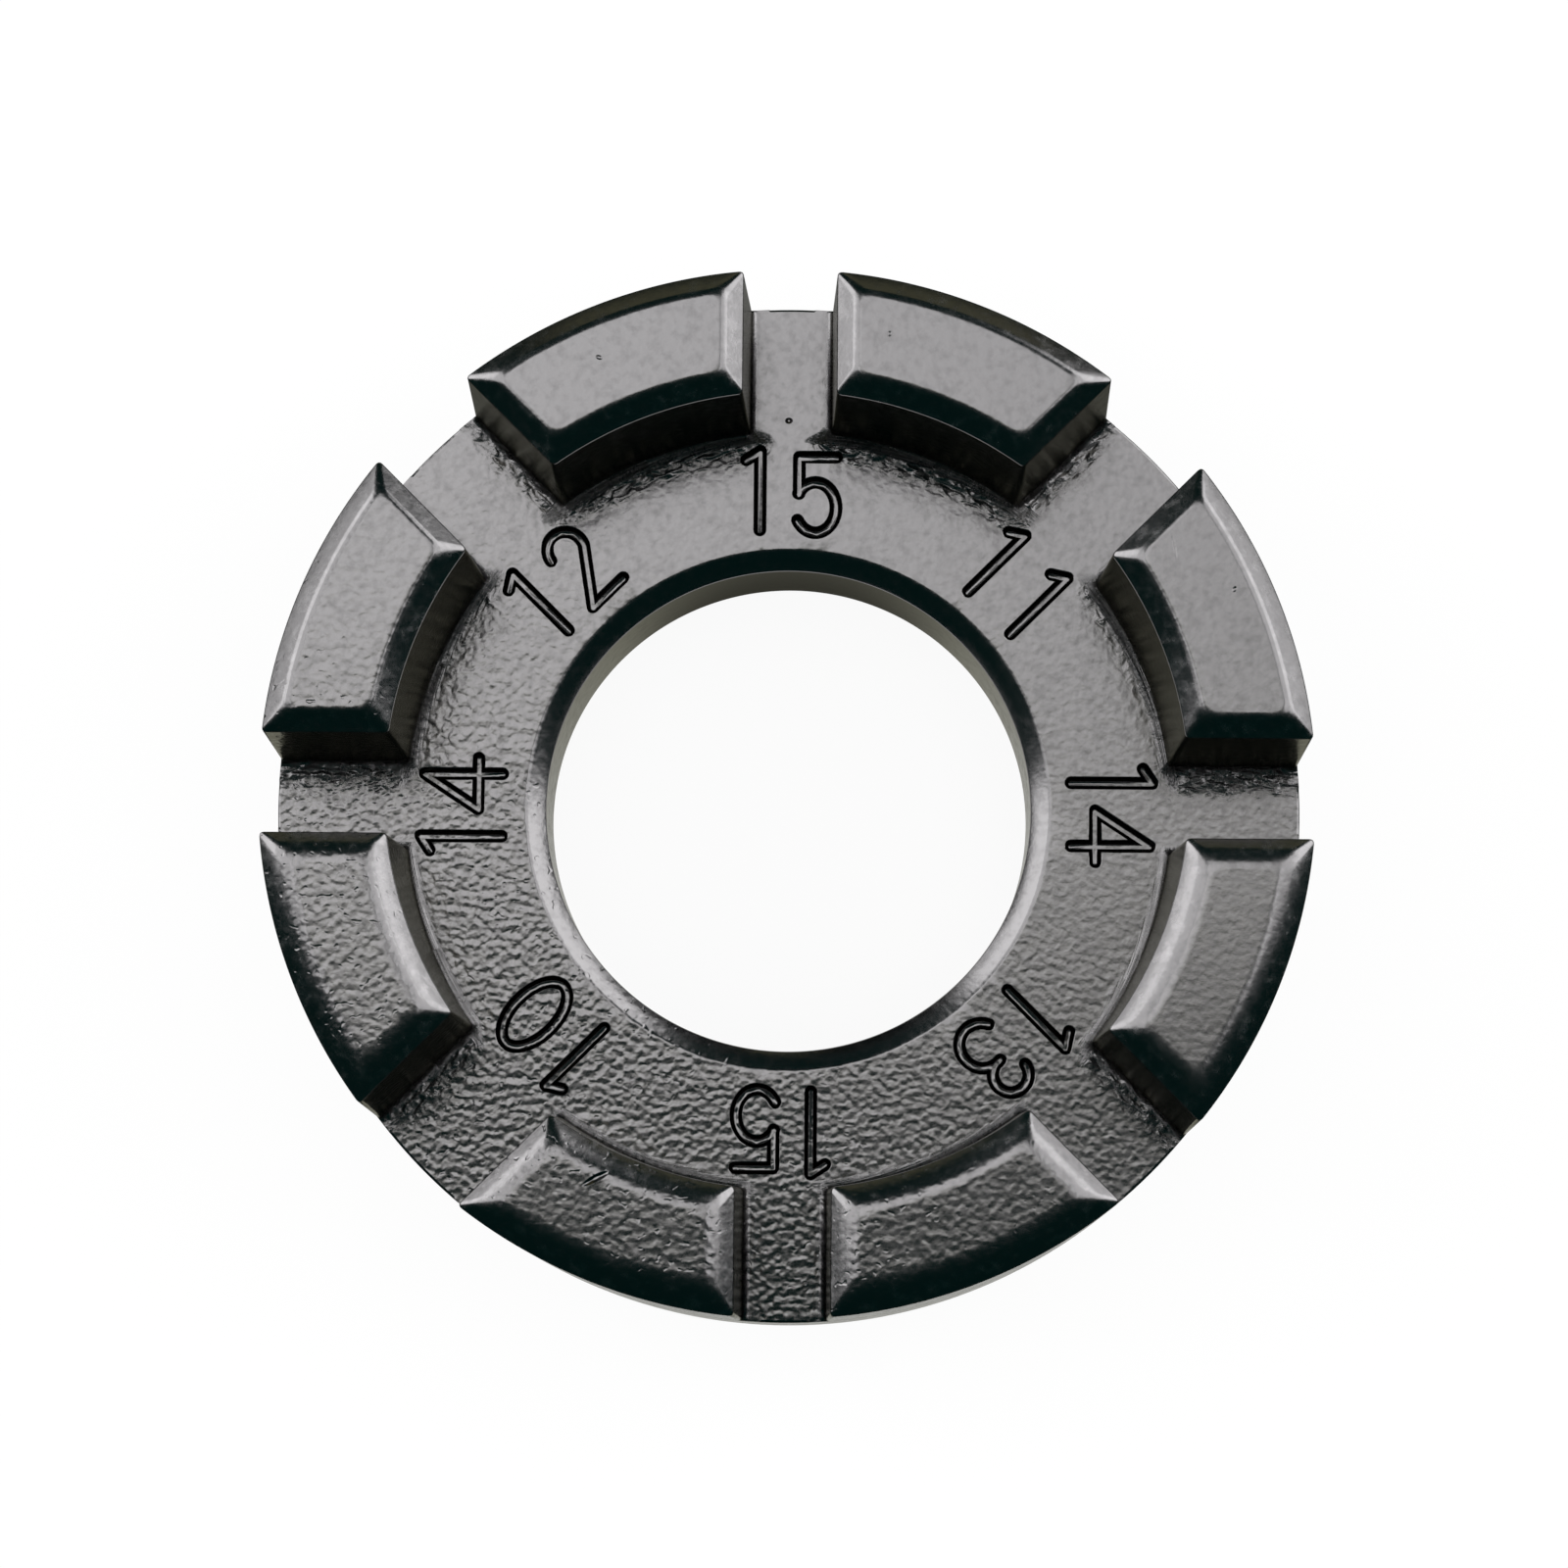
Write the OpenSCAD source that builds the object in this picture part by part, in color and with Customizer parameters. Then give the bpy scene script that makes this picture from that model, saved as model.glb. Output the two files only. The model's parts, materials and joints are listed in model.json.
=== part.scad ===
/* [Ring plate] */
// Diameter of the wall at the foot of the lugs' top chamfer
outer_d = 40; // [36:0.5:52]
// Diameter of the hole through the middle
bore_d = 19.1; // [14:0.1:21]
// Thickness of the plate, from the underside to the slot floors
plate_t = 4.9; // [3:0.1:7]
// Width of the chamfer round the top of the hole
bore_chamfer = 0.75; // [0.3:0.05:1.4]
// Height of that chamfer
bore_chamfer_rise = 0.55; // [0.2:0.05:1.2]
// Edge break round the outside of the underside
base_chamfer = 0.25; // [0.1:0.05:0.6]

/* [Lugs] */
// Height of the lugs' straight walls above the slot floors
wall_h = 6.7; // [4:0.1:9]
// Depth of a lug from its outer wall to its inner wall, at the foot of its top chamfer
lug_depth = 4.8; // [3.5:0.1:6]
// Width of the chamfer round the top of each lug, on the slot sides and the inside
lug_chamfer = 0.75; // [0.3:0.05:1]
// Width of the chamfer on the outside of each lug
rim_chamfer = 0.8; // [0.3:0.05:1.2]
// Height of all these chamfers
chamfer_rise = 0.6; // [0.3:0.05:1]
// Radius of the fillet at the foot of the slot walls
slot_fillet = 0.25; // [0.1:0.05:0.6]
// Radius of the fillet at the foot of the lugs' inner walls
inner_fillet = 0.3; // [0.1:0.05:1.2]

/* [Slots] */
// Width of the two slots for 15 gauge nipples, halfway up their walls
slot_15_w = 3.4; // [3.2:0.05:3.8]
// Width of the two slots for 14 gauge nipples
slot_14_w = 3.6; // [3.3:0.05:4]
// Width of the slot for 13 gauge nipples
slot_13_w = 4; // [3.8:0.05:4.4]
// Width of the slot for 12 gauge nipples
slot_12_w = 4.4; // [4.2:0.05:4.8]
// Width of the slot for 11 gauge nipples
slot_11_w = 4.55; // [4.4:0.05:5]
// Width of the slot for 10 gauge nipples
slot_10_w = 5.1; // [4.8:0.05:5.6]

/* [Casting draft] */
// Lean of the slot walls and the lugs' inner walls, in degrees
inner_draft = 1.7; // [0.5:0.1:3]
// Lean of the outer wall, in degrees
outer_draft = 0.8; // [0.2:0.1:2]

/* [Hidden] */

casting_grey = [0.27, 0.28, 0.28];
// How far every cut runs past the faces that it opens
overrun = 2;
// Slope at which each fillet runs out on the floor, which leaves no feather edge
toe_slope = 20;
// Flats that make up each fillet
fillet_steps = 6;
// Height by which the slot chamfers start above the others, so that no corner is a perfect mitre
mitre_step = 0.05;

// Slots in order, counter-clockwise from +X
slot_widths = [slot_14_w, slot_11_w, slot_15_w, slot_12_w,
               slot_14_w, slot_10_w, slot_15_w, slot_13_w];
slot_count = len(slot_widths);
slot_pitch = 360 / slot_count;

outer_r = outer_d / 2;
bore_r = bore_d / 2;
inner_r = outer_r - lug_depth;
floor_z = plate_t;
wall_top_z = floor_z + wall_h;
top_z = wall_top_z + chamfer_rise;
mouth_z = wall_top_z + mitre_step;

// Radius of the outer wall at height z
function rim_r(z) = outer_r + (wall_top_z - z) * tan(outer_draft);
// Radius of the lugs' inner wall at height z
function lug_inner_r(z) = inner_r - (wall_top_z - z) * tan(inner_draft);
// Half the width of a slot at height z, where w is its width halfway up
function half_slot(w, z) = w / 2 + (z - floor_z - wall_h / 2) * tan(inner_draft);
// Height of a fillet's centre, with the run-out slope at the floor
function fillet_z(r) = floor_z + r * cos(toe_slope);
// Distance along the floor from a drafted wall to the centre of its fillet
function fillet_reach(r) = r / cos(inner_draft);
// Fillet of radius r about a centre, from its toe on the floor up to the drafted wall
function fillet_arc(centre, r) = [
    for (i = [0 : fillet_steps])
        let (a = -90 + toe_slope + i / fillet_steps * (90 - toe_slope - inner_draft))
        centre + r * [cos(a), sin(a)]
];
// The same outline from the other side of the slot, in reverse order
function mirrored(points) = [for (i = [len(points) - 1 : -1 : 0]) [-points[i].x, points[i].y]];

// Flat ring that carries the lugs and forms the floor of every slot
module ring_plate() {
    color(casting_grey)
    rotate_extrude($fn = 128)
    polygon([
        [bore_r, 0],
        [rim_r(0) - base_chamfer, 0],
        [rim_r(base_chamfer), base_chamfer],
        [rim_r(floor_z), floor_z],
        [bore_r + bore_chamfer, floor_z],
        [bore_r, floor_z - bore_chamfer_rise]
    ]);
}

// Section through the ring of lugs: drafted walls, top chamfers and the inner fillet
module lug_section() {
    centre_z = fillet_z(inner_fillet);
    centre_r = lug_inner_r(centre_z) - fillet_reach(inner_fillet);
    polygon(concat(
        fillet_arc([centre_r, centre_z], inner_fillet),
        [
            [inner_r, wall_top_z],
            [inner_r + lug_chamfer, top_z],
            [outer_r - rim_chamfer, top_z],
            [outer_r, wall_top_z],
            [rim_r(floor_z), floor_z]
        ]
    ));
}

// Section of a slot: drafted walls that flare into the chamfers, with rounded bottom corners
module slot_section(w) {
    centre_z = fillet_z(slot_fillet);
    centre_y = half_slot(w, centre_z) - fillet_reach(slot_fillet);
    arc = fillet_arc([centre_y, centre_z], slot_fillet);
    // The lowest flat runs on through the floor until it meets the slot's middle line
    flat_slope = (arc[1].y - arc[0].y) / (arc[1].x - arc[0].x);
    keel_z = arc[0].y - arc[0].x * flat_slope;
    mouth_y = half_slot(w, mouth_z);
    flare = lug_chamfer + overrun;
    flare_rise = flare * chamfer_rise / lug_chamfer;
    right_side = concat(
        [for (i = [1 : fillet_steps]) arc[i]],
        [[mouth_y, mouth_z], [mouth_y + flare, mouth_z + flare_rise]]
    );
    polygon(concat([[0, keel_z]], right_side, mirrored(right_side)));
}

// Straight slot cutter that runs outwards from the hole's edge past the rim
module slot_cutter(w) {
    rotate([90, 0, 90])
    translate([0, 0, bore_r])
    linear_extrude(height = rim_r(0) - bore_r + overrun)
    slot_section(w);
}

// Lug between slot i and the next one: a stretch of the revolved section, cut by both slots
module lug(i) {
    color(casting_grey)
    difference() {
        rotate([0, 0, i * slot_pitch])
        rotate_extrude(angle = slot_pitch, $fn = 128)
        lug_section();
        for (k = [i, i + 1])
            rotate([0, 0, k * slot_pitch]) slot_cutter(slot_widths[k % slot_count]);
    }
}

ring_plate();
lug(0);  // lug_14_11
lug(1);  // lug_11_15
lug(2);  // lug_15_12
lug(3);  // lug_12_14
lug(4);  // lug_14_10
lug(5);  // lug_10_15
lug(6);  // lug_15_13
lug(7);  // lug_13_14
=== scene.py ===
"""Spoke wrench: an engraved cast ring with eight lugs, dressed for a pale studio."""

import json
import math

import bmesh
import bpy
from bpy.props import FloatProperty, FloatVectorProperty, IntProperty, PointerProperty
from mathutils import Matrix, Vector

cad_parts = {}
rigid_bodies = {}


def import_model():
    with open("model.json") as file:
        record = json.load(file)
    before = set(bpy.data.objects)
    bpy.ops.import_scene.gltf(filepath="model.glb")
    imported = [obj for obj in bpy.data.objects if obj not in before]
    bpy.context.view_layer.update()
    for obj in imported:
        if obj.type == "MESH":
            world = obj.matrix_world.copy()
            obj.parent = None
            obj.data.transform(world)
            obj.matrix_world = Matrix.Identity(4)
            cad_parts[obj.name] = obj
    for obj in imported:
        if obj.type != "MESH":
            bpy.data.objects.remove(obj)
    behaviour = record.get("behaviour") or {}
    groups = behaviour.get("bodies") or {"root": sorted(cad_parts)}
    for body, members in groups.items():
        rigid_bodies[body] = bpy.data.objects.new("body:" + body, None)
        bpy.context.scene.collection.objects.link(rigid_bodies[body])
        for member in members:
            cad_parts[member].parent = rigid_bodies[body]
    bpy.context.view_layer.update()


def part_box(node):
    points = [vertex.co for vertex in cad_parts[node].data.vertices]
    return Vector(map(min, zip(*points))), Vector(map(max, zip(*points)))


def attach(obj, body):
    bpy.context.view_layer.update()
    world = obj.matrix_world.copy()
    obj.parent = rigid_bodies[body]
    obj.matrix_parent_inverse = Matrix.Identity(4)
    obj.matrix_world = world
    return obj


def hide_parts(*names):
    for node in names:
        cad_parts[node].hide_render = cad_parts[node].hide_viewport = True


bl_info = {
    "name": "Spoke wrench",
    "version": (1, 0, 0),
    "blender": (4, 5, 0),
    "location": "3D View > Sidebar > Wrench",
    "description": "Builds the engraved ring and the lugs of a round spoke wrench, and its studio",
    "category": "Object",
}

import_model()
PLATE_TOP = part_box("ring_plate")[1].z
LUG_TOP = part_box("lug_14_11")[1].z
MM = 0.001

# Lugs in order, counter-clockwise from +X. Each lies between its slot and the next one
LUGS = ("lug_14_11", "lug_11_15", "lug_15_12", "lug_12_14", "lug_14_10", "lug_10_15", "lug_15_13", "lug_13_14")
SLOT_PITCH = math.radians(45)
# Edges that turn by more than this stay sharp
CREASE = math.radians(38)
# Vertex attribute that marks the chamfers, which are smoother and show wear
WEAR_MARK = "worn_edge"

# Numerals as pen strokes, in millimetres: x to the right of the stem, y up from the foot.
# A line lists its points. An arc is its centre, its two radii, and the angles where it starts and ends
STROKES = {
    "1": [("line", (0, 0), (0, 3.2)), ("line", (0, 3.2), (-0.57, 2.83))],
    "2": [
        ("arc", (0.83, 2.4), (0.73, 0.77), 172, -24),
        ("line", (1.5, 2.09), (0, 0.02)),
        ("line", (0, 0.02), (1.68, 0.02)),
    ],
    "3": [
        ("arc", (0.82, 2.52), (0.7, 0.7), 172, -98),
        ("arc", (0.82, 0.93), (0.87, 0.9), 98, -152),
    ],
    "4": [
        ("line", (1.4, 3.08), (0, 0.95)),
        ("line", (0, 0.95), (2.02, 0.95)),
        ("line", (1.4, 3.08), (1.4, 0)),
    ],
    "5": [
        ("line", (0.06, 3.06), (1.52, 3.06)),
        ("line", (0.03, 3.06), (0.03, 1.58)),
        ("arc", (0.68, 1.02), (0.82, 1.02), 146, -150),
    ],
    "0": [("arc", (0.88, 1.6), (0.86, 1.58), 0, 360)],
}
# Each number: its two digits, and for each digit how far right of the slot's middle line
# and how far from the ring's axis its foot stands, in millimetres
NUMBERS = (
    ("14", (-1.08, 11.12), (0.02, 11.12)),
    ("11", (-1.16, 11.14), (1.22, 11.12)),
    ("15", (-1.22, 11.12), (0.3, 11.02)),
    ("12", (-1.22, 11.16), (0.12, 11.14)),
    ("14", (-1.2, 11.26), (-0.12, 11.26)),
    ("10", (-1.13, 11.2), (0.29, 11.17)),
    ("15", (-0.98, 11.14), (0.44, 11.06)),
    ("13", (-1.08, 11.14), (0.34, 11.05)),
)
# Section of a stroke from its flat bottom up to where it leaves the plate: half widths as shares
# of the stroke's half width, and heights as shares of its depth
STROKE_LEVELS = ((0.25, -1), (0.33, -0.96), (0.38, -0.86), (0.85, -0.09), (0.91, -0.02), (1, 0.01), (1.22, 0.4))
# Small flaws of the casting: where each one lies, its half length and half width in millimetres,
# its bearing in degrees and its depth in millimetres
MARKS = (
    ((-0.1, 15.55, PLATE_TOP), (0.16, 0.13), 0, 0.09),
    ((16.9, 7.52, LUG_TOP), (0.14, 0.1), 60, 0.015),
    ((-7.28, 16.35, LUG_TOP), (0.16, 0.1), 160, 0.015),
    ((3.81, 17.34, LUG_TOP), (0.1, 0.13), 0, 0.015),
    ((-6.93, -14.86, LUG_TOP), (0.62, 0.15), 29, 0.17),
    ((14.63, 9.14, LUG_TOP), (0.6, 0.08), 100, 0.008),
)


def length(name, description, millimetres):
    return FloatProperty(name=name, description=description, default=millimetres * MM, subtype="DISTANCE")


def angle(name, description, degrees):
    return FloatProperty(name=name, description=description, default=math.radians(degrees), subtype="ANGLE")


def colour(name, description, default):
    return FloatVectorProperty(name=name, description=description, default=default,
                               subtype="COLOR", size=3, min=0, max=1)


class WrenchSizes(bpy.types.PropertyGroup):
    outer_radius: length("Outer radius", "Outer wall at the foot of the lugs' top chamfer", 20)
    bore_radius: length("Bore radius", "Hole through the middle", 9.55)
    bore_chamfer: length("Bore chamfer", "Width of the chamfer round the top of the hole", 0.75)
    bore_chamfer_rise: length("Bore chamfer height", "Height of the chamfer round the top of the hole", 0.5)
    base_chamfer: length("Base edge", "Edge break round the underside", 0.25)
    lug_depth: length("Lug depth", "From a lug's outer wall to its inner wall", 4.8)
    lug_chamfer: length("Lug chamfer", "Chamfer on the slot sides and the inside of each lug", 0.75)
    rim_chamfer: length("Rim chamfer", "Width of the chamfer on the outside of each lug", 0.8)
    chamfer_rise: length("Chamfer height", "Height of the chamfers round the top of each lug", 0.6)
    slot_fillet: length("Slot fillet", "Fillet at the foot of the slot walls", 0.25)
    inner_fillet: length("Inner fillet", "Fillet at the foot of the lugs' inner walls", 0.3)
    inner_draft: angle("Inner draft", "Lean of the slot walls and inner walls", 1.7)
    outer_draft: angle("Outer draft", "Lean of the outer wall", 0.8)
    slot_15: length("15 slot", "Width halfway up the walls", 3.4)
    slot_14: length("14 slot", "Width halfway up the walls", 3.6)
    slot_13: length("13 slot", "Width halfway up the walls", 4.0)
    slot_12: length("12 slot", "Width halfway up the walls", 4.4)
    slot_11: length("11 slot", "Width halfway up the walls", 4.55)
    slot_10: length("10 slot", "Width halfway up the walls", 5.1)
    corner_round: length("Corner rounding", "Rounding of the lugs' upright corners", 0.2)
    top_corner_round: length("Top corner rounding", "Rounding of the corners of each lug's flat top", 0.5)
    top_round: length("Top edge rounding", "Reach of the round from a lug's chamfer into its flat top", 0.2)
    worn_top_round: length("Worn edge rounding", "The same on the four lugs that are worn softer", 0.5)
    edge_round: length("Edge rounding", "Rounding of every other cast edge", 0.1)
    foot_round: length("Chamfer foot rounding", "Rounding between each chamfer and the wall below it", 0.05)
    stroke_depth: length("Numeral depth", "Depth of the engraved strokes", 0.36)
    stroke_half: length("Numeral half width", "Half the width of a stroke at the surface", 0.27)
    round_steps: IntProperty(name="Round steps", description="Facets round the whole ring", default=288, min=48)


class WrenchFinish(bpy.types.PropertyGroup):
    plating: colour("Plating", "Colour that the plating mirrors", (0.26, 0.256, 0.262))
    edge_tint: colour("Grazing tint", "Tint of reflections near grazing", (0.3, 0.298, 0.24))
    roughness: FloatProperty(name="Roughness", description="Blur of the plating's reflections",
                             default=0.19, min=0, max=1)
    peel: length("Cast skin height", "Height of the cast skin's ripples", 0.031)
    floor: colour("Floor", "Colour of the studio floor", (0.93, 0.93, 0.93))


def slot_widths(s):
    return (s.slot_14, s.slot_11, s.slot_15, s.slot_12, s.slot_14, s.slot_10, s.slot_15, s.slot_13)


def built_mesh(bm, name):
    mesh = bpy.data.meshes.new(name)
    bm.to_mesh(mesh)
    bm.free()
    return mesh


def finish_piece(bm, name, context):
    """The built shape as a plated object at the origin, smooth between its creases."""
    bmesh.ops.recalc_face_normals(bm, faces=bm.faces)
    mesh = built_mesh(bm, name)
    mesh.shade_smooth()
    mesh.set_sharp_from_angle(angle=CREASE)
    mesh.materials.append(plating(context))
    piece = bpy.data.objects.new(name, mesh)
    bpy.context.scene.collection.objects.link(piece)
    return piece


def weigh_normals(piece):
    """Keeps the large flat faces flat where they meet small rounded ones."""
    weighted = piece.modifiers.new("flat faces stay flat", "WEIGHTED_NORMAL")
    weighted.mode = "FACE_AREA"
    weighted.weight = 50
    weighted.keep_sharp = True


def loft(bm, rings, worn=()):
    """A closed body through rings of points with equal counts: each ring is extruded and moved to the next.

    The rings whose numbers are in worn get the mark for wear.
    """
    mark = bm.verts.layers.float.new(WEAR_MARK)
    verts = [bm.verts.new(p) for p in rings[0]]
    edges = [bm.edges.new((verts[k - 1], verts[k])) for k in range(len(verts))]
    bmesh.ops.contextual_create(bm, geom=edges)
    for number, ring in enumerate(rings[1:], 1):
        made = bmesh.ops.extrude_edge_only(bm, edges=edges)["geom"]
        where = {v.co.copy().freeze(): v for v in made if isinstance(v, bmesh.types.BMVert)}
        verts = [where[v.co.copy().freeze()] for v in verts]
        for v, p in zip(verts, ring):
            v.co = p
            v[mark] = 1.0 if number in worn else 0.0
        own = set(verts)
        edges = [e for e in made if isinstance(e, bmesh.types.BMEdge) and e.verts[0] in own and e.verts[1] in own]
    bmesh.ops.contextual_create(bm, geom=edges)


def round_edges(bm, edges, radius):
    bmesh.ops.bevel(bm, geom=edges, offset=radius, offset_type="OFFSET", segments=3,
                    profile=0.5, affect="EDGES", material=-1, clamp_overlap=True)


# Ring


def arc_point(centre, radii, turn):
    return Vector((centre[0] + radii[0] * math.cos(turn), centre[1] + radii[1] * math.sin(turn)))


def stroke_path(stroke):
    """Points along a pen stroke, in millimetres."""
    if stroke[0] == "line":
        return [Vector(p) for p in stroke[1:]]
    degrees_a_step = 9
    _, centre, radii, start, end = stroke
    count = max(6, int(abs(end - start) / degrees_a_step))
    return [arc_point(centre, radii, math.radians(start + (end - start) * k / count)) for k in range(count + 1)]


def stroke_outline(path, half):
    """Closed outline of a stroke with round ends, half as wide as the pen on each side of its path."""
    cap_steps = 8
    sides = []
    for k, p in enumerate(path):
        ahead = path[min(k + 1, len(path) - 1)] - p
        behind = p - path[max(k - 1, 0)]
        along = (ahead.normalized() + behind.normalized()).normalized()
        sides.append((p, Vector((along.y, -along.x))))
    right = [p + n * half for p, n in sides]
    left = [p - n * half for p, n in reversed(sides)]
    end, start = sides[-1], sides[0]

    def cap(p, n):
        first = math.atan2(n.y, n.x)
        turns = [first + math.pi * k / cap_steps for k in range(1, cap_steps)]
        return [p + half * Vector((math.cos(a), math.sin(a))) for a in turns]

    return right + cap(end[0], end[1]) + left + cap(start[0], -start[1])


def open_cutter(bm, stroke, at, half):
    """Body of a stroke with two ends, lofted from its bottom to its rim."""
    path = stroke_path(stroke)
    loft(bm, [[at(p, height) for p in stroke_outline(path, half * width)] for width, height in STROKE_LEVELS])


def closed_cutter(bm, stroke, at, half):
    """Body of a stroke that closes on itself: its section runs round the loop."""
    steps = 44
    _, centre, radii, _, _ = stroke
    section = [(w * half, h) for w, h in STROKE_LEVELS]
    section += [(-w, h) for w, h in reversed(section)]
    loops = []
    for k in range(steps):
        a = 2 * math.pi * k / steps
        p = arc_point(centre, radii, a)
        n = Vector((math.cos(a) / radii[0], math.sin(a) / radii[1])).normalized()
        verts = [bm.verts.new(at(p + n * w, h)) for w, h in section]
        loops.append([bm.edges.new((verts[j - 1], verts[j])) for j in range(len(verts))])
    for k in range(steps):
        bmesh.ops.bridge_loops(bm, edges=loops[k - 1] + loops[k])


def stroke_cutter(stroke, place, s):
    """Body that cuts one engraved stroke: a flat bottom, steep walls and a soft rim."""

    def at(p, height):
        return place @ Vector((p.x * MM, p.y * MM, PLATE_TOP + s.stroke_depth * height))

    bm = bmesh.new()
    closed = stroke[0] == "arc" and abs(stroke[4] - stroke[3]) == 360
    build = closed_cutter if closed else open_cutter
    build(bm, stroke, at, s.stroke_half / MM)
    bmesh.ops.recalc_face_normals(bm, faces=bm.faces)
    return built_mesh(bm, "stroke")


def engrave(ring, s):
    """Cuts the gauge numbers beside the slots into the ring's top face."""
    cutters = bpy.data.collections.new("stroke cutters")
    bpy.context.scene.collection.children.link(cutters)
    for i, (digits, *feet) in enumerate(NUMBERS):
        turn = Matrix.Rotation(i * SLOT_PITCH - math.pi / 2, 4, "Z")
        for digit, (right, out) in zip(digits, feet):
            place = turn @ Matrix.Translation((right * MM, out * MM, 0))
            for stroke in STROKES[digit]:
                cutters.objects.link(bpy.data.objects.new("stroke", stroke_cutter(stroke, place, s)))
    cut = ring.modifiers.new("engraving", "BOOLEAN")
    cut.operation = "DIFFERENCE"
    cut.operand_type = "COLLECTION"
    cut.solver = "EXACT"
    cut.collection = cutters
    bpy.context.view_layer.update()
    evaluated = ring.evaluated_get(bpy.context.evaluated_depsgraph_get())
    carved = bpy.data.meshes.new_from_object(evaluated)
    ring.modifiers.clear()
    ring.data = carved
    carved.name = ring.name
    for o in list(cutters.objects):
        bpy.data.objects.remove(o)
    bpy.data.collections.remove(cutters)
    carved.set_sharp_from_angle(angle=CREASE)
    # the bore's own rounded edge lies inside this radius
    part_flats(carved, PLATE_TOP, s.bore_radius + s.bore_chamfer + 0.3 * MM)


def part_flats(mesh, height, beyond):
    """Marks the rim of everything cut into a flat face as sharp, so that the face keeps its flat shading."""
    bm = bmesh.new()
    bm.from_mesh(mesh)
    for edge in bm.edges:
        if len(edge.link_faces) != 2:
            continue
        middles = [(f, f.calc_center_median()) for f in edge.link_faces]
        flat = any(f.normal.z > 0.9999 and abs(c.z - height) < 1e-6 for f, c in middles)
        low = any(c.z < height - 1e-7 and c.xy.length > beyond for _, c in middles)
        if flat and low:
            edge.smooth = False
    bm.to_mesh(mesh)
    bm.free()


def in_a_slot(point, s):
    """Whether a point of the rim lies on a slot's floor, clear of the lugs."""
    clearance = 0.5 * MM
    for i, width in enumerate(slot_widths(s)):
        a = i * SLOT_PITCH
        along = point.x * math.cos(a) + point.y * math.sin(a)
        across = point.y * math.cos(a) - point.x * math.sin(a)
        if along > 0 and abs(across) < width / 2 - clearance:
            return True
    return False


class WRENCH_OT_ring(bpy.types.Operator):
    """Build the flat ring with its chamfered bore and the engraved gauge numbers"""

    bl_idname = "wrench.ring"
    bl_label = "Engraved ring"

    def execute(self, context):
        s = context.scene.wrench_sizes
        wall_top = LUG_TOP - s.chamfer_rise
        lean = math.tan(s.outer_draft)
        bm = bmesh.new()
        profile = (
            (s.bore_radius, 0),
            (s.outer_radius + wall_top * lean - s.base_chamfer, 0),
            (s.outer_radius + (wall_top - s.base_chamfer) * lean, s.base_chamfer),
            (s.outer_radius + (wall_top - PLATE_TOP) * lean, PLATE_TOP),
            (s.bore_radius + s.bore_chamfer, PLATE_TOP),
            (s.bore_radius, PLATE_TOP - s.bore_chamfer_rise),
        )
        bore_foot, _, _, rim, chamfer_top, chamfer_foot = profile
        verts = [bm.verts.new((r, 0, z)) for r, z in profile]
        edges = [bm.edges.new((verts[k - 1], verts[k])) for k in range(len(verts))]
        bmesh.ops.spin(bm, geom=verts + edges, axis=(0, 0, 1), cent=(0, 0, 0), angle=2 * math.pi,
                       steps=s.round_steps, use_merge=True)
        bmesh.ops.recalc_face_normals(bm, faces=bm.faces)

        def ring_edges(radius, z):
            return [e for e in bm.edges if all(
                abs(v.co.z - z) < 1e-7 and abs(v.co.xy.length - radius) < 1e-6 for v in e.verts)]

        round_edges(bm, ring_edges(*chamfer_top), s.edge_round)
        round_edges(bm, ring_edges(*chamfer_foot), s.foot_round)
        round_edges(bm, ring_edges(*bore_foot), s.edge_round)
        open_rim = [e for e in ring_edges(*rim) if all(in_a_slot(v.co, s) for v in e.verts)]
        round_edges(bm, open_rim, s.edge_round)
        ring = finish_piece(bm, "engraved_ring", context)
        engrave(ring, s)
        weigh_normals(ring)
        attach(ring, "root")
        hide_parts("ring_plate")
        return {"FINISHED"}


# Lugs


def bend(before, corner, after, steps=4):
    """Points of a soft corner."""
    return [before.lerp(corner, k / steps).lerp(corner.lerp(after, k / steps), k / steps) for k in range(steps + 1)]


def footprint(i, inner, outer, halves, z, rho):
    """Outline of lug i at height z: two straight slot sides, and an arc outside and inside."""
    arc_steps = 40
    start, end = i * SLOT_PITCH, (i + 1) * SLOT_PITCH
    half_a, half_b = halves

    def polar(radius, turn):
        return Vector((radius * math.cos(turn), radius * math.sin(turn), z))

    def side(turn, half, sign, radius, back):
        """Point on a slot side, a little back along it from where it meets a circle."""
        along = Vector((math.cos(turn), math.sin(turn), 0))
        across = Vector((-math.sin(turn), math.cos(turn), 0)) * sign
        return along * (math.sqrt(radius * radius - half * half) - back) + across * half + Vector((0, 0, z))

    def arc(radius, first, last):
        return [polar(radius, first + (last - first) * k / arc_steps) for k in range(1, arc_steps)]

    def ends(radius):
        """Bearings between which the arc runs, clear of its rounded corners."""
        spare = rho / radius
        return start + math.asin(half_a / radius) + spare, end - math.asin(half_b / radius) - spare

    a_out, b_out = ends(outer)
    a_in, b_in = ends(inner)
    points = bend(side(start, half_a, 1, outer, rho), side(start, half_a, 1, outer, 0), polar(outer, a_out))
    points += arc(outer, a_out, b_out)
    points += bend(polar(outer, b_out), side(end, half_b, -1, outer, 0), side(end, half_b, -1, outer, rho))
    points += bend(side(end, half_b, -1, inner, -rho), side(end, half_b, -1, inner, 0), polar(inner, b_in))
    points += arc(inner, b_in, a_in)
    points += bend(polar(inner, a_in), side(start, half_a, 1, inner, 0), side(start, half_a, 1, inner, -rho))
    return points


def flare(radius, height):
    """How far a fillet stands out from its wall at a height above the floor."""
    if height >= radius:
        return 0.0
    return radius - math.sqrt(radius * radius - (radius - height) ** 2)


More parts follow.
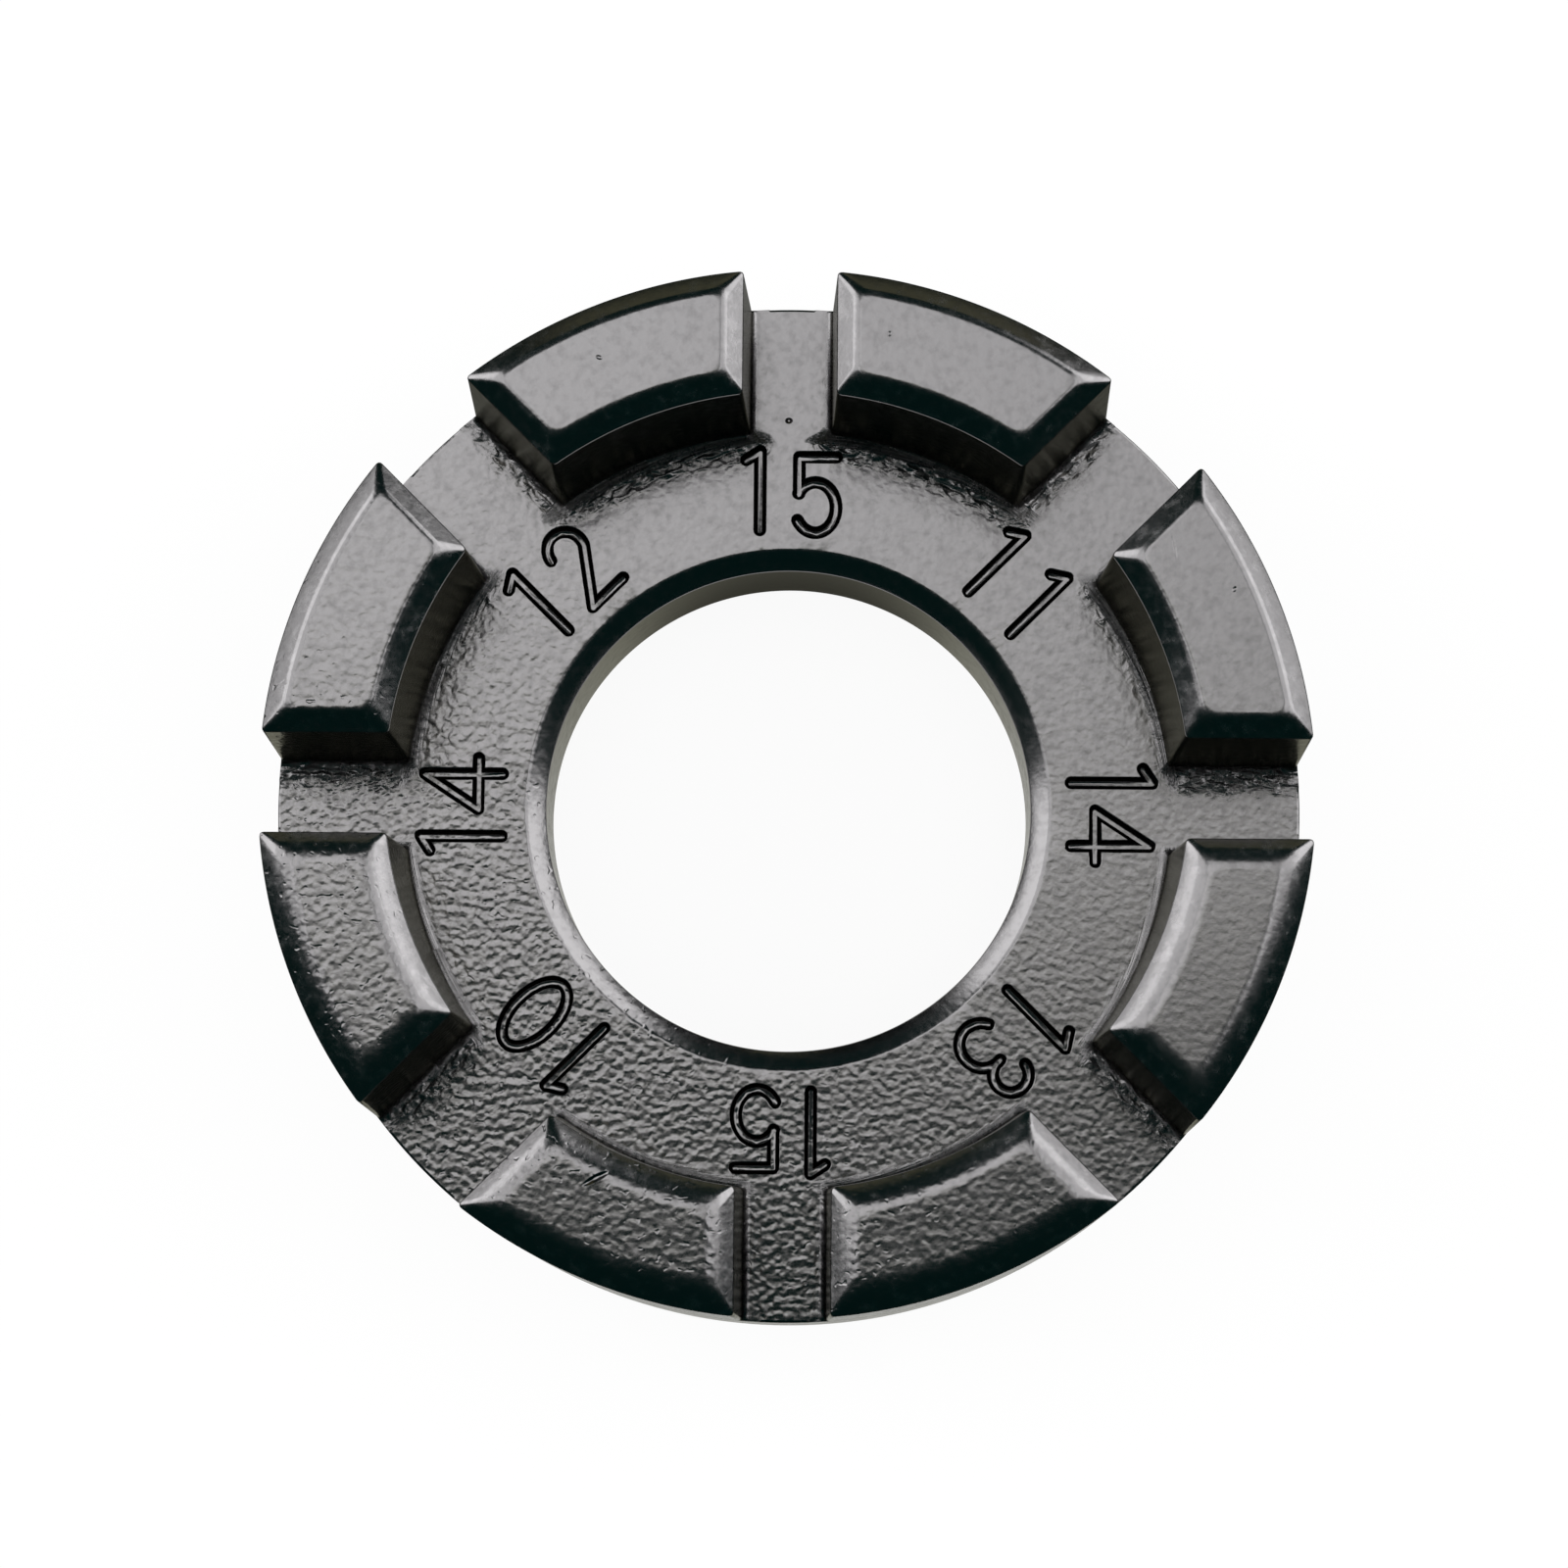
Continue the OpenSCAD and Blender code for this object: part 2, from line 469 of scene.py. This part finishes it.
class WRENCH_OT_lugs(bpy.types.Operator):
    """Build the eight lugs between the slots, with their drafted walls, fillets and soft chamfers"""

    bl_idname = "wrench.lugs"
    bl_label = "Lugs"

    def execute(self, context):
        s = context.scene.wrench_sizes
        widths = slot_widths(s)
        wall_top = LUG_TOP - s.chamfer_rise
        inner_lean, outer_lean = math.tan(s.inner_draft), math.tan(s.outer_draft)
        middle = (PLATE_TOP + wall_top) / 2
        arcs = [math.radians(a) for a in (0, 18, 36, 54, 72, 90)]
        heights = sorted({round(r * (1 - math.cos(a)), 9) for r in (s.slot_fillet, s.inner_fillet) for a in arcs})
        foot, shoulder = Vector((0, wall_top)), Vector((s.lug_chamfer, LUG_TOP))
        slope = (shoulder - foot).normalized()
        # the lower four lugs are worn softer, and the last rings of the round belong to the flat top
        first_worn_lug, flat_rings = 4, 4
        for i, name in enumerate(LUGS):
            reach = s.top_round if i < first_worn_lug else s.worn_top_round
            soft = bend(foot - Vector((0, s.foot_round)), foot, foot + slope * s.foot_round)
            soft += bend(shoulder - slope * reach, shoulder, shoulder + Vector((reach, 0)), 6)

            def ring_at(z, inset):
                low = wall_top - min(z, wall_top)
                above = z - PLATE_TOP
                inner = s.outer_radius - s.lug_depth - low * inner_lean
                inner += inset * s.lug_chamfer - flare(s.inner_fillet, above)
                outer = s.outer_radius + low * outer_lean - inset * s.rim_chamfer
                halves = [widths[k % len(widths)] / 2 + (min(z, wall_top) - middle) * inner_lean
                          - flare(s.slot_fillet, above) + inset * s.lug_chamfer for k in (i, i + 1)]
                rho = s.corner_round + (s.top_corner_round - s.corner_round) * min(inset, 1)
                return footprint(i, inner, outer, halves, z, rho)

            levels = [(PLATE_TOP + h, 0) for h in heights] + [(p.y, p.x / s.lug_chamfer) for p in soft]
            bm = bmesh.new()
            loft(bm, [ring_at(*level) for level in levels], worn=range(len(heights) + 1, len(levels) - flat_rings))
            lug = finish_piece(bm, name.replace("lug", "cast_lug"), context)
            weigh_normals(lug)
            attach(lug, "root")
            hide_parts(name)
        return {"FINISHED"}


# Finish


class Graph:
    """Shader nodes of one tree, laid out in rows as they are made."""

    row, spacing = 8, (200, -250)

    def __init__(self, tree):
        self.tree = tree
        self.link = tree.links.new
        self.made = 0

    def node(self, kind, **values):
        """Adds a node and sets its properties or, where it has none of that name, its inputs."""
        made = self.tree.nodes.new(kind)
        made.location = (self.made % self.row * self.spacing[0], self.made // self.row * self.spacing[1])
        self.made += 1
        for key, value in values.items():
            if hasattr(made, key):
                setattr(made, key, value)
            else:
                made.inputs[key].default_value = value
        return made

    def feed(self, socket, value):
        """Gives an input its value: another node's output, or a plain one."""
        if isinstance(value, bpy.types.NodeSocket):
            self.link(value, socket)
        else:
            socket.default_value = value

    def math(self, operation, *terms):
        made = self.node("ShaderNodeMath", operation=operation)
        for socket, term in zip(made.inputs, terms):
            self.feed(socket, term)
        return made.outputs[0]

    def plus(self, a, b):
        return self.math("ADD", a, b)

    def minus(self, a, b):
        return self.math("SUBTRACT", a, b)

    def times(self, a, b):
        return self.math("MULTIPLY", a, b)

    def times_plus(self, a, factor, offset):
        return self.math("MULTIPLY_ADD", a, factor, offset)

    def place(self):
        return self.node("ShaderNodeTexCoord").outputs["Object"]

    def split(self, vector):
        made = self.node("ShaderNodeSeparateXYZ")
        self.link(vector, made.inputs[0])
        return made.outputs

    def length(self, vector):
        made = self.node("ShaderNodeVectorMath", operation="LENGTH")
        self.link(vector, made.inputs[0])
        return made.outputs["Value"]

    def radius(self, place):
        """Distance of a place from the ring's axis, in millimetres."""
        flat = self.node("ShaderNodeVectorMath", operation="MULTIPLY")
        flat.inputs[1].default_value = (1 / MM, 1 / MM, 0)
        self.link(place, flat.inputs[0])
        return self.length(flat.outputs["Vector"])

    def noise(self, place, scale, detail, roughness=0.5, distortion=0.0):
        made = self.node("ShaderNodeTexNoise", Detail=detail, Roughness=roughness, Distortion=distortion)
        self.link(place, made.inputs["Vector"])
        self.feed(made.inputs["Scale"], scale)
        return made.outputs["Fac"]

    def ramp(self, value, low, high, smooth=False):
        """Value as a share of the way from low to high, held between 0 and 1."""
        made = self.node("ShaderNodeMapRange", interpolation_type="SMOOTHSTEP" if smooth else "LINEAR")
        self.link(value, made.inputs["Value"])
        made.inputs["From Min"].default_value = low
        made.inputs["From Max"].default_value = high
        return made.outputs["Result"]

    def blend(self, share, first, second):
        """Mix of two colours, where each colour is an output or plain."""
        made = self.node("ShaderNodeMix", data_type="RGBA")
        self.feed(made.inputs["Factor"], share)
        self.feed(made.inputs["A"], first)
        self.feed(made.inputs["B"], second)
        return made.outputs["Result"]

    def group(self, tree):
        return self.node("ShaderNodeGroup", node_tree=tree)


def new_group(name, inputs, outputs):
    """An empty node group with named inputs (and their defaults) and outputs."""
    tree = bpy.data.node_groups.new(name, "ShaderNodeTree")
    for label, default in inputs:
        socket = tree.interface.new_socket(name=label, in_out="INPUT", socket_type="NodeSocketFloat")
        socket.default_value = default
    for label in outputs:
        tree.interface.new_socket(name=label, in_out="OUTPUT", socket_type="NodeSocketFloat")
    g = Graph(tree)
    return g, g.node("NodeGroupInput").outputs, g.node("NodeGroupOutput").inputs


def cast_skin_group():
    """Skin of a plated casting, in millimetres of height: waves, orange peel, grain and pits; and its grime."""
    g, given, out = new_group(
        "cast skin",
        (("Ripple size", 0.27), ("Peel", 0.031), ("Waves", 0.006), ("Grain", 0.002), ("Pits", 0.012)),
        ("Height", "Grime"))
    place = g.place()
    x, y, z = g.split(place)
    # coarser towards -X and -Y, finer on the lugs, and smooth at the bore and on the chamfers
    low_side = g.ramp(g.times_plus(x, 0.9, y), 6 * MM, -14 * MM)
    coarse = g.times(g.times_plus(low_side, 0.7, 0.3), g.times_plus(g.ramp(z, 6 * MM, 10 * MM), -0.38, 1.0))
    by_bore = g.ramp(g.radius(place), 10.45, 10.15)
    smoothed = g.math("MAXIMUM", by_bore, g.node("ShaderNodeAttribute", attribute_name=WEAR_MARK).outputs["Fac"])
    coarse = g.times(coarse, g.times_plus(smoothed, -0.75, 1.0))
    ripples = g.noise(place, g.math("DIVIDE", 1 / MM, given["Ripple size"]), 0.4, 0.5, 0.2)
    peel = g.times(ripples, g.times(given["Peel"], coarse))
    waves = g.times(g.noise(place, 420.0, 1.0, 0.4), given["Waves"])
    grain = g.times(g.noise(place, 7500.0, 1.0), given["Grain"])
    few = g.ramp(g.times(low_side, g.noise(place, 260.0, 1.0)), 0.35, 0.55)
    hollow = g.times(g.ramp(g.noise(place, 4200.0, 0.0), 0.68, 0.84, True), few)
    pits = g.times(hollow, given["Pits"])
    for at, half_size, bearing, depth in MARKS:
        own = g.node("ShaderNodeMapping", vector_type="TEXTURE")
        own.inputs["Location"].default_value = [c * MM for c in at[:2]] + [at[2]]
        own.inputs["Rotation"].default_value = (0, 0, math.radians(bearing))
        own.inputs["Scale"].default_value = [c * MM for c in half_size] + [0.2 * MM]
        g.link(place, own.inputs["Vector"])
        pits = g.times_plus(g.ramp(g.length(own.outputs["Vector"]), 1.0, 0.2, True), depth, pits)
    g.link(g.minus(g.plus(g.plus(peel, waves), grain), pits), out["Height"])
    g.link(g.ramp(g.noise(place, 2600.0, 2.0, 0.6), 0.45, 0.75), out["Grime"])
    return g.tree


def slot_half_width(g, nearest, s):
    """Half the width of the slot with this number, in millimetres, out of a table of steps."""
    widths = slot_widths(s)
    count, widest = len(widths), 5.0
    table = g.node("ShaderNodeValToRGB")
    table.color_ramp.interpolation = "CONSTANT"
    stops = table.color_ramp.elements
    while len(stops) < count:
        stops.new(1.0)
    for k, (stop, width) in enumerate(zip(stops, widths)):
        level = width / 2 / MM / widest
        stop.position = k / count
        stop.color = (level, level, level, 1)
    g.link(g.math("FRACT", g.math("DIVIDE", g.plus(nearest, count + 0.5), float(count))), table.inputs["Fac"])
    return g.times(table.outputs["Color"], widest)


def lug_foot_group(s):
    """Ragged, slightly raised and wrinkled band on the plate where the lugs' walls rise from it, which the plating
    also paints darker as shade.
    """
    g, given, out = new_group("lug foot", (("Reach", 1.3), ("Rise", 0.08), ("Worms", 0.21)), ("Height", "Band"))
    place = g.place()
    to_mm = g.node("ShaderNodeVectorMath", operation="SCALE")
    to_mm.inputs["Scale"].default_value = 1 / MM
    g.link(place, to_mm.inputs[0])
    x, y, z = g.split(to_mm.outputs["Vector"])
    radius = g.radius(place)
    # which slot is nearest, and how far the point lies from its middle line
    turn = g.math("DIVIDE", g.math("ARCTAN2", y, x), SLOT_PITCH)
    nearest = g.math("ROUND", turn)
    local = g.times(g.minus(turn, nearest), SLOT_PITCH)
    across = g.math("ABSOLUTE", g.times(radius, g.math("SINE", local)))
    in_slot = g.math("MAXIMUM", g.minus(slot_half_width(g, nearest, s), across), 0.0)
    # the inner wall leans in by this much on its way down
    lean = 0.2
    inside = g.math("MAXIMUM", g.minus((s.outer_radius - s.lug_depth) / MM - lean, radius), 0.0)
    away = g.math("SQRT", g.plus(g.times(in_slot, in_slot), g.times(inside, inside)))
    # strongest below the walls that face -Y, as shares for the slot walls and the inner walls
    by_inner = g.ramp(radius, 15.4, 14.6, True)
    side_faces = g.times(g.math("SIGN", local), g.math("COSINE", g.times(nearest, SLOT_PITCH)))
    side_faces = g.math("MAXIMUM", side_faces, 0.1)
    inner_faces = g.math("MAXIMUM", g.math("DIVIDE", y, radius), 0.15)
    faces = g.times_plus(g.minus(inner_faces, side_faces), by_inner, side_faces)
    # the band's ragged reach, only at the plate's own height. It reaches further below the walls that face -Y, and so
    # does the painted shade
    ragged = g.times_plus(g.noise(place, 1900.0, 3.0, 0.6), 0.8, -0.4)
    reach = g.times(given["Reach"], g.times_plus(faces, 0.65, 0.4))
    far = g.math("DIVIDE", g.plus(away, ragged), reach)
    floor = PLATE_TOP / MM
    level = g.times(g.ramp(z, floor + 0.4, floor + 0.15), g.ramp(z, floor - 0.4, floor - 0.15))
    band = g.times(g.ramp(far, 1.0, 0.15, True), level)
    g.link(band, out["Band"])
    # wrinkles that run along the wall
    along = g.times_plus(g.minus(g.times(local, 15.0), radius), by_inner, radius)
    unrolled = g.node("ShaderNodeCombineXYZ")
    for socket, value in zip(unrolled.inputs, (g.times(away, 3.3), g.times(along, 1.6), nearest)):
        g.link(value, socket)
    worms = g.noise(unrolled.outputs[0], 1.0, 0.6, 0.5, 0.6)
    crest = g.times(g.times(g.minus(worms, 0.5), faces), given["Worms"])
    dish = g.ramp(far, 1.0, 0.0)
    swell = g.times(g.times(dish, dish), g.times(faces, given["Rise"]))
    g.link(g.times_plus(band, crest, g.times(swell, level)), out["Height"])
    return g.tree


def edge_wear_group():
    """Patchy wear along a piece's chamfers, which the pieces mark in their attribute."""
    g, given, out = new_group("edge wear", (("Patch size", 0.5),), ("Wear",))
    place = g.place()
    marked = g.node("ShaderNodeAttribute", attribute_name=WEAR_MARK).outputs["Fac"]
    patches = g.ramp(g.noise(place, g.math("DIVIDE", 1 / MM, given["Patch size"]), 3.0, 0.6), 0.5, 0.7)
    g.link(g.times(marked, patches), out["Wear"])
    return g.tree


def stroke_wall_shade_group():
    """Mask of the steep walls of the engraved strokes, between two heights in millimetres from the plate's top, which
    the plating paints nearly black as shade.
    """
    g, given, out = new_group("stroke walls painted shade", (("Top", -0.03), ("Bottom", -0.31)), ("Wall",))
    place = g.place()
    radius = g.radius(place)
    below = g.times_plus(g.split(place)[2], 1 / MM, -PLATE_TOP / MM)
    steep = g.times(g.math("LESS_THAN", below, given["Top"]), g.math("GREATER_THAN", below, given["Bottom"]))
    inside = g.times(g.math("GREATER_THAN", radius, 10.6), g.math("LESS_THAN", radius, 15.2))
    g.link(g.times(inside, steep), out["Wall"])
    return g.tree


def plating(context):
    """Glossy dark plating over the cast skin: stained, rough and painted darker as shade at the lugs' feet, painted
    nearly black as shade on the engraved strokes' walls, thin at worn edges.
    """
    name = "dark_plating"
    if name in bpy.data.materials:
        return bpy.data.materials[name]
    f = context.scene.wrench_finish
    material = bpy.data.materials.new(name)
    material.use_nodes = True
    g = Graph(material.node_tree)
    shader = material.node_tree.nodes["Principled BSDF"]
    shader.inputs["Metallic"].default_value = 1.0
    shader.inputs["Specular Tint"].default_value = (*f.edge_tint, 1)
    skin = g.group(cast_skin_group())
    skin.inputs["Peel"].default_value = f.peel / MM
    skin = skin.outputs
    foot = g.group(lug_foot_group(context.scene.wrench_sizes)).outputs
    wear = g.group(edge_wear_group()).outputs["Wear"]
    wall = g.group(stroke_wall_shade_group()).outputs["Wall"]

    def shade(factor):
        return (*(factor * c for c in f.plating), 1)

    tone = g.blend(skin["Grime"], shade(1), shade(0.91))
    # painted shade: the plate is painted darker in the band at the lugs' feet
    tone = g.blend(foot["Band"], tone, shade(0.88))
    tone = g.blend(wear, tone, shade(1.25))
    # painted shade: the steep walls of the engraved strokes are painted nearly black
    tone = g.blend(wall, tone, shade(0.1))
    g.link(tone, shader.inputs["Base Color"])
    rough = g.times_plus(skin["Grime"], 0.07, f.roughness)
    rough = g.times_plus(foot["Band"], 0.08, rough)
    g.link(g.times_plus(wear, 0.08, rough), shader.inputs["Roughness"])
    bump = g.node("ShaderNodeBump", Strength=1.0, Distance=MM)
    g.link(g.plus(skin["Height"], foot["Height"]), bump.inputs["Height"])
    g.link(bump.outputs["Normal"], shader.inputs["Normal"])
    return material


# Stage


def floor_material(context):
    """Matt pale floor that the camera and the metal see a little brighter, with the object's shadow kept; what the
    metal sees of it has a painted shadow by the bore's upper edge.
    """
    material = bpy.data.materials.new("studio_floor")
    material.use_nodes = True
    g = Graph(material.node_tree)
    shader = material.node_tree.nodes["Principled BSDF"]
    shader.inputs["Base Color"].default_value = (*context.scene.wrench_finish.floor, 1)
    shader.inputs["Roughness"].default_value = 0.9
    shader.inputs["Specular IOR Level"].default_value = 0.0
    rays = g.node("ShaderNodeLightPath").outputs
    seen = g.math("MAXIMUM", rays["Is Camera Ray"], rays["Is Glossy Ray"])
    seen = g.math("MAXIMUM", seen, rays["Is Transmission Ray"])
    # painted shadow of the ring: the metal sees the floor dimmer towards the bore's upper edge
    painted_shadow = g.times(g.ramp(g.split(g.place())[1], 6 * MM, 9.4 * MM, True), rays["Is Glossy Ray"])
    glow = g.node("ShaderNodeEmission")
    g.link(g.times_plus(painted_shadow, -0.75, 1.0), glow.inputs["Strength"])
    mix = g.node("ShaderNodeMixShader")
    for socket, value in zip(mix.inputs, (g.times(seen, 0.92), shader.outputs[0], glow.outputs[0])):
        g.link(value, socket)
    g.link(mix.outputs[0], material.node_tree.nodes["Material Output"].inputs["Surface"])
    return material


def glow_material(name, tint, strength, fade=(0, 0), tilt=0.0, low_tint=None):
    """Glow that fades out towards the edges of its panel over a share of its width and of its height.

    Its strength falls by the tilt from left to right, and it may have another colour at its lower edge.
    """
    material = bpy.data.materials.new(name)
    material.use_nodes = True
    tree = material.node_tree
    tree.nodes.remove(tree.nodes["Principled BSDF"])
    g = Graph(tree)
    lit = g.node("ShaderNodeEmission", Strength=strength)
    lit.inputs["Color"].default_value = (*tint, 1)
    g.link(lit.outputs[0], tree.nodes["Material Output"].inputs["Surface"])
    if any(fade):
        across, up, _ = g.split(g.node("ShaderNodeTexCoord").outputs["UV"])
        level = strength
        for position, share in zip((across, up), fade):
            if share > 0:
                off = g.math("ABSOLUTE", g.minus(position, 0.5))
                level = g.times(g.ramp(off, 0.5, 0.5 - share, True), level)
        g.link(g.times(level, g.times_plus(across, -tilt, 1.0 + tilt / 2)), lit.inputs["Strength"])
        if low_tint:
            g.link(g.blend(g.ramp(up, 0.03, 0.25), (*low_tint, 1), (*tint, 1)), lit.inputs["Color"])
    return material


def stage_sheet(bm, name, material):
    mesh = built_mesh(bm, name)
    mesh.materials.append(material)
    sheet = bpy.data.objects.new(name, mesh)
    bpy.context.scene.collection.objects.link(sheet)
    return sheet


def mirrored_only(sheet):
    """Leaves a sheet to be seen in the metal alone."""
    sheet.visible_camera = False
    sheet.visible_diffuse = False
    sheet.visible_shadow = False


def sky_card(name, corners, material):
    """A lit panel on a sphere round the wrench, between four corners that are given as directions."""
    steps, reach = 8, 0.6
    bm = bmesh.new()
    bm.loops.layers.uv.new("UVMap")
    bmesh.ops.create_grid(bm, x_segments=steps, y_segments=steps, size=0.5, calc_uvs=True)
    low_left, low_right, high_left, high_right = corners
    for v in bm.verts:
        across, up = v.co.x + 0.5, v.co.y + 0.5
        v.co = low_left.lerp(low_right, across).lerp(high_left.lerp(high_right, across), up).normalized() * reach
    mirrored_only(stage_sheet(bm, name, material))


def compass(bearing, height):
    """Direction at a bearing from +X and a height above the floor, in degrees."""
    a, e = math.radians(bearing), math.radians(height)
    return Vector((math.cos(e) * math.cos(a), math.cos(e) * math.sin(a), math.sin(e)))


def overhead(x, y):
    """Direction that leans x degrees to +X and y degrees to +Y from straight up."""
    return Vector((math.tan(math.radians(x)), math.tan(math.radians(y)), 1)).normalized()


def softbox(name, size, where, target, power):
    """A soft lamp that lights the floor and isn't mirrored in the metal."""
    light = bpy.data.lights.new(name, "AREA")
    light.shape = "RECTANGLE"
    light.size, light.size_y = size
    light.energy = power
    lamp = bpy.data.objects.new(name, light)
    lamp.location = where
    lamp.rotation_euler = (Vector(target) - Vector(where)).to_track_quat("-Z", "Y").to_euler()
    lamp.visible_glossy = False
    bpy.context.scene.collection.objects.link(lamp)


def camera_pose():
    """Camera of the photograph: almost straight above, leaning towards the lower edge of the picture."""
    elevation, turn, roll = math.radians(82.3), math.radians(5.35), math.radians(4.9)
    # distance and shifts are in outer radii, from a point on the axis at the foot of the lugs' chamfers
    radius, middle, distance, shift_across, shift_over = 20 * MM, 11.5 * MM, 8.0, -0.0044, 0.0032
    back = Vector((math.cos(elevation) * math.sin(turn), -math.cos(elevation) * math.cos(turn), math.sin(elevation)))
    right = Vector((math.cos(turn), math.sin(turn), 0))
    up = Vector((-math.sin(elevation) * math.sin(turn), math.sin(elevation) * math.cos(turn), math.cos(elevation)))
    across = math.cos(roll) * right - math.sin(roll) * up
    over = math.sin(roll) * right + math.cos(roll) * up
    pose = Matrix((across, over, back)).transposed().to_4x4()
    pose.translation = radius * (distance * back + shift_across * across + shift_over * over) + Vector((0, 0, middle))
    return pose


# Lit panels beside the wrench: heights and bearings in degrees, and strength
SIDE_PANELS = (
    ("right_low_panel", (0, 14), (6, 60), 1.45),
    ("right_high_panel", (14, 36), (0, 66), 2.3),
    ("right_top_panel", (36, 66), (-5, 58), 1.5),
    ("left_low_panel", (0, 14), (178, 127), 1.15),
    ("left_high_panel", (14, 36), (181, 127), 2.3),
    ("left_top_panel", (36, 66), (186, 127), 1.5),
)


class WRENCH_OT_stage(bpy.types.Operator):
    """Build the pale floor, the soft studio light, the reflection panels and the camera"""

    bl_idname = "wrench.stage"
    bl_label = "Studio"

    def execute(self, context):
        scene = context.scene
        bm = bmesh.new()
        bmesh.ops.create_grid(bm, x_segments=1, y_segments=1, size=1.2)
        stage_sheet(bm, "studio_floor", floor_material(context))

        world = bpy.data.worlds.new("studio")
        world.use_nodes = True
        world.node_tree.nodes["Background"].inputs["Color"].default_value = (0.9, 0.9, 0.9, 1)
        world.node_tree.nodes["Background"].inputs["Strength"].default_value = 1.0
        scene.world = world

        # a dark tent and a dark cloth on the floor, which only the metal sees, with lit panels inside the tent.
        # The cloth lies just above the floor and the tent's edge just above the cloth
        tent_radius, tent_foot = 0.65, 0.2 * MM
        cloth_hole, cloth_radius, cloth_height = 22.5 * MM, 0.66, 0.1 * MM
        bm = bmesh.new()
        bmesh.ops.create_uvsphere(bm, u_segments=32, v_segments=16, radius=tent_radius)
        bmesh.ops.bisect_plane(bm, geom=bm.verts[:] + bm.edges[:] + bm.faces[:], plane_co=(0, 0, tent_foot),
                               plane_no=(0, 0, -1), clear_outer=True)
        mirrored_only(stage_sheet(bm, "dark_tent", glow_material("tent_cloth", (0.0023, 0.02, 0.0185), 1.0)))
        bm = bmesh.new()
        for radius in (cloth_hole, cloth_radius):
            bmesh.ops.create_circle(bm, segments=64, radius=radius)
        bmesh.ops.translate(bm, vec=(0, 0, cloth_height), verts=bm.verts)
        bmesh.ops.bridge_loops(bm, edges=bm.edges[:])
        mirrored_only(stage_sheet(bm, "floor_cloth", glow_material("floor_cloth", (0.02, 0.03, 0.026), 1.0)))

        white = (1, 0.99, 0.985)
        for name, (low, high), (first, last), strength in SIDE_PANELS:
            corners = [compass(bearing, height) for height in (low, high) for bearing in (first, last)]
            sky_card(name, corners, glow_material(name, white, strength, (0.12, 0)))
        sky_card("back_panel", [compass(bearing, height) for height in (0, 9) for bearing in (118, 62)],
                 glow_material("back_panel", (0.17, 0.165, 0.10), 1.0, (0.1, 0)))
        sky_card("overhead_panel", (overhead(-16, 0.6), overhead(14, 1.6), overhead(-16, 30), overhead(14, 30)),
                 glow_material("overhead_panel", white, 1.45, (0.06, 0.2), tilt=0.54, low_tint=(1, 1, 0.86)))
        for side in (-1, 1):
            sky_card("strip_panel", [overhead(x * side, y) for y in (-5, 22) for x in (15, 30)],
                     glow_material("strip_panel", white, 2.2, (0.3, 0.25)))
        for side in (-1, 1):
            softbox("side_softbox", (0.5, 0.22), (0.5 * side, 0.08, 0.1), (0, 0, 0.01), 3.2)

        data = bpy.data.cameras.new("photo_camera")
        data.lens = 97.2
        data.sensor_width = 36
        data.clip_start = 0.01
        camera = bpy.data.objects.new("photo_camera", data)
        camera.matrix_world = camera_pose()
        scene.collection.objects.link(camera)
        scene.camera = camera
        scene.view_settings.view_transform = "Standard"
        return {"FINISHED"}


class WRENCH_PT_panel(bpy.types.Panel):
    """Steps that build the wrench and its studio"""

    bl_idname = "WRENCH_PT_panel"
    bl_label = "Spoke wrench"
    bl_space_type = "VIEW_3D"
    bl_region_type = "UI"
    bl_category = "Wrench"

    def draw(self, context):
        for operator in (WRENCH_OT_ring, WRENCH_OT_lugs, WRENCH_OT_stage):
            self.layout.operator(operator.bl_idname)


CLASSES = (WrenchSizes, WrenchFinish, WRENCH_OT_ring, WRENCH_OT_lugs, WRENCH_OT_stage, WRENCH_PT_panel)


def register():
    for cls in CLASSES:
        bpy.utils.register_class(cls)
    bpy.types.Scene.wrench_sizes = PointerProperty(type=WrenchSizes)
    bpy.types.Scene.wrench_finish = PointerProperty(type=WrenchFinish)


def unregister():
    del bpy.types.Scene.wrench_sizes
    del bpy.types.Scene.wrench_finish
    for cls in reversed(CLASSES):
        bpy.utils.unregister_class(cls)


def main():
    register()
    bpy.ops.wrench.ring()
    bpy.ops.wrench.lugs()
    bpy.ops.wrench.stage()


if __name__ == "__main__":
    main()
